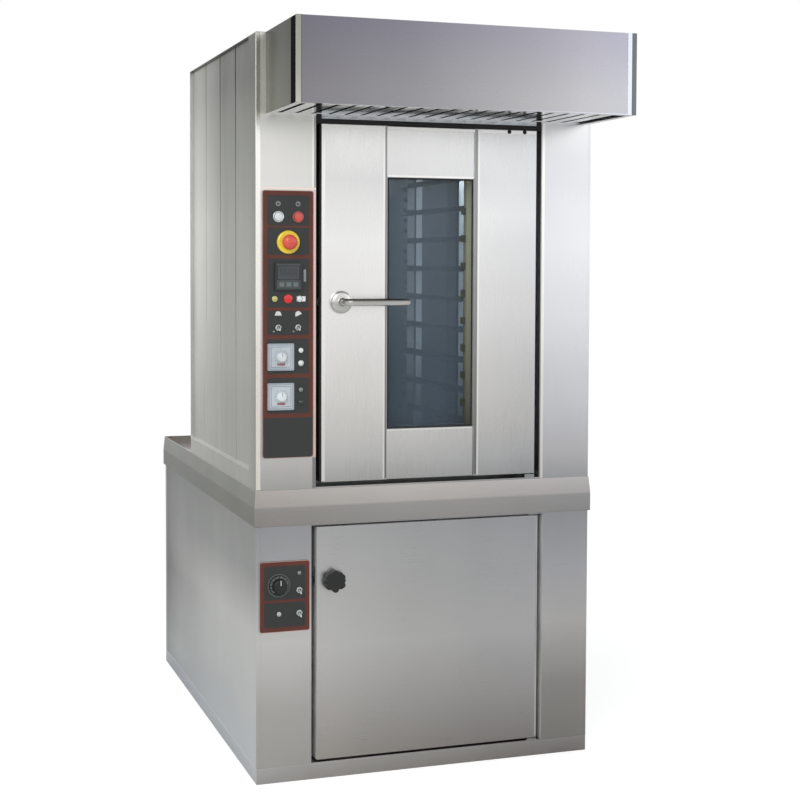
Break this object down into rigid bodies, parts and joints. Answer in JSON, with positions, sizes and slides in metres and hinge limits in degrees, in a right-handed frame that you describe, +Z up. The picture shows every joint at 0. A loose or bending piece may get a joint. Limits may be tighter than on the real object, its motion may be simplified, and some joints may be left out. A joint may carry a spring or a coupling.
{
  "type": "rotating rack oven",
  "caption": "Rotating rack oven with a windowed door, side control fascia and a slatted hood, standing on a proving cabinet with its own door, dial and turning knob.",
  "frame": {"origin": "on the floor, under the middle of the whole outline", "axes": "+Z up, -Y towards the front where the doors open, +X to the right as seen from the front"},
  "size_m": [0.98, 1.673, 2.06],
  "materials": {
    "stainless": "brushed satin",
    "stainless_light": "fine brushed satin",
    "stainless_inner": "smooth mill",
    "heater_steel": "heat-tinted",
    "charcoal_paint": "satin print on sheet",
    "motor_paint": "satin",
    "wool": "matt",
    "window_glass": "polished",
    "lamp_glass": "frosted",
    "seal_rubber": "matt",
    "black_plastic": "matt",
    "silver_plastic": "satin",
    "white_plastic": "gloss",
    "red_plastic": "gloss",
    "yellow_plastic": "gloss",
    "lamp_lens": "gloss",
    "chrome_trim": "polished",
    "bronze": "machined",
    "brass_fitting": "machined"
  },
  "bodies": {
    "cabinet": {"base_plinth": "stainless", "base_side_panels": "stainless", "base_front_frame": "stainless_light", "deck_rim": "stainless", "prover_liner": "stainless_inner", "prover_tray_rails": "stainless_inner", "prover_humidifier": "heater_steel", "prover_fascia": "charcoal_paint", "oven_front_frame": "stainless_light", "lintel_panel": "stainless", "oven_side_panels": "stainless", "back_panels": "stainless", "roof_panel": "stainless", "insulation": "wool", "chamber_liner": "stainless_inner", "air_duct_panel": "stainless_inner", "fan_box": "stainless_inner", "heating_elements": "heater_steel", "steam_generator": "heater_steel", "chamber_lamps": "lamp_glass", "gearmotor": "motor_paint", "rack_bearings": "bronze", "fan_motor": "motor_paint", "rear_housing": "stainless", "hood_shell": "stainless", "hood_filter": "stainless_light", "control_fascia": "charcoal_paint", "digital_controller": "black_plastic", "instrument_cases": "silver_plastic", "indicator_lamps": "lamp_lens", "estop_collar": "yellow_plastic", "switch_bezels": "chrome_trim", "door_hardware": "stainless_inner", "panel_screws": "stainless", "service_inlets": "brass_fitting"},
    "oven_door": {"door_stiles": "stainless_light", "door_centre_panels": "stainless_light", "door_liner": "stainless_inner", "door_insulation": "wool", "window_glass": "window_glass", "door_gasket": "seal_rubber", "handle_rose": "stainless_light"},
    "lever": {"door_lever": "stainless_light"},
    "bolt": {"latch_bolt": "stainless_inner"},
    "prover_door": {"prover_door_panel": "stainless", "prover_door_gasket": "seal_rubber"},
    "turning_knob": {"prover_knob": "black_plastic"},
    "rack": {"rack_frame": "stainless_inner", "drive_shaft": "stainless_inner"},
    "fan": {"fan_wheel": "stainless_inner"},
    "stop_head": {"estop_head": "red_plastic"},
    "start": {"start_button": "white_plastic"},
    "stop": {"stop_button": "red_plastic"},
    "timer_upper": {"timer_knob_upper": "white_plastic"},
    "timer_lower": {"timer_knob_lower": "white_plastic"},
    "switch_left": {"toggle_left": "chrome_trim"},
    "switch_right": {"toggle_right": "chrome_trim"},
    "dial": {"thermostat_dial": "black_plastic"},
    "small_switch_upper": {"prover_switch_upper": "chrome_trim"},
    "small_switch_lower": {"prover_switch_lower": "chrome_trim"}
  },
  "joints": [
    {"name": "oven_door_hinge", "type": "hinge", "parent": "cabinet", "child": "oven_door", "pos_m": [0.306, -0.5145, 1.286], "axis": [0, 0, 1], "range_deg": [0, 110]},
    {"name": "lever_turn", "type": "hinge", "parent": "oven_door", "child": "lever", "pos_m": [-0.251, -0.5295, 1.291], "axis": [0, 1, 0], "range_deg": [0, 45], "stiffness_Nm_per_rad": 0.8, "springref_deg": -57.3},
    {"name": "bolt_slide", "type": "slide", "parent": "oven_door", "child": "bolt", "axis": [1, 0, 0], "range_m": [0, 0.01]},
    {"name": "prover_door_hinge", "type": "hinge", "parent": "cabinet", "child": "prover_door", "pos_m": [0.318, -0.5145, 0.369], "axis": [0, 0, 1], "range_deg": [0, 110]},
    {"name": "knob_turn", "type": "hinge", "parent": "prover_door", "child": "turning_knob", "pos_m": [-0.271, -0.5295, 0.54], "axis": [0, 1, 0], "range_deg": [0, 90]},
    {"name": "rack_turn", "type": "hinge", "parent": "cabinet", "child": "rack", "pos_m": [0.006, -0.0095, 1.284], "axis": [0, 0, 1], "continuous": true},
    {"name": "fan_spin", "type": "hinge", "parent": "cabinet", "child": "fan", "pos_m": [0.006, 0.5255, 1.3], "axis": [0, 1, 0], "continuous": true},
    {"name": "stop_head_press", "type": "slide", "parent": "cabinet", "child": "stop_head", "axis": [0, 1, 0], "range_m": [0, 0.005]},
    {"name": "start_press", "type": "slide", "parent": "cabinet", "child": "start", "axis": [0, 1, 0], "range_m": [0, 0.004], "stiffness_N_per_m": 200, "springref_m": -0.004},
    {"name": "stop_press", "type": "slide", "parent": "cabinet", "child": "stop", "axis": [0, 1, 0], "range_m": [0, 0.004], "stiffness_N_per_m": 200, "springref_m": -0.004},
    {"name": "timer_upper_turn", "type": "hinge", "parent": "cabinet", "child": "timer_upper", "pos_m": [-0.41875, -0.5295, 1.146], "axis": [0, 1, 0], "range_deg": [0, 300]},
    {"name": "timer_lower_turn", "type": "hinge", "parent": "cabinet", "child": "timer_lower", "pos_m": [-0.41875, -0.5295, 1.041], "axis": [0, 1, 0], "range_deg": [0, 300]},
    {"name": "switch_left_flip", "type": "hinge", "parent": "cabinet", "child": "switch_left", "pos_m": [-0.42475, -0.5295, 1.224], "axis": [-1, 0, 0], "range_deg": [0, 28]},
    {"name": "switch_right_flip", "type": "hinge", "parent": "cabinet", "child": "switch_right", "pos_m": [-0.37075, -0.5295, 1.224], "axis": [-1, 0, 0], "range_deg": [0, 28]},
    {"name": "dial_turn", "type": "hinge", "parent": "cabinet", "child": "dial", "pos_m": [-0.42275, -0.5295, 0.535], "axis": [0, 1, 0], "range_deg": [0, 270]},
    {"name": "small_switch_upper_flip", "type": "hinge", "parent": "cabinet", "child": "small_switch_upper", "pos_m": [-0.36675, -0.5295, 0.52], "axis": [-1, 0, 0], "range_deg": [0, 28]},
    {"name": "small_switch_lower_flip", "type": "hinge", "parent": "cabinet", "child": "small_switch_lower", "pos_m": [-0.36675, -0.5295, 0.458], "axis": [-1, 0, 0], "range_deg": [0, 28]}
  ],
  "couplings": [
    {"joint": "bolt_slide", "follows": "lever_turn", "m_per_rad": 0.01273}
  ]
}
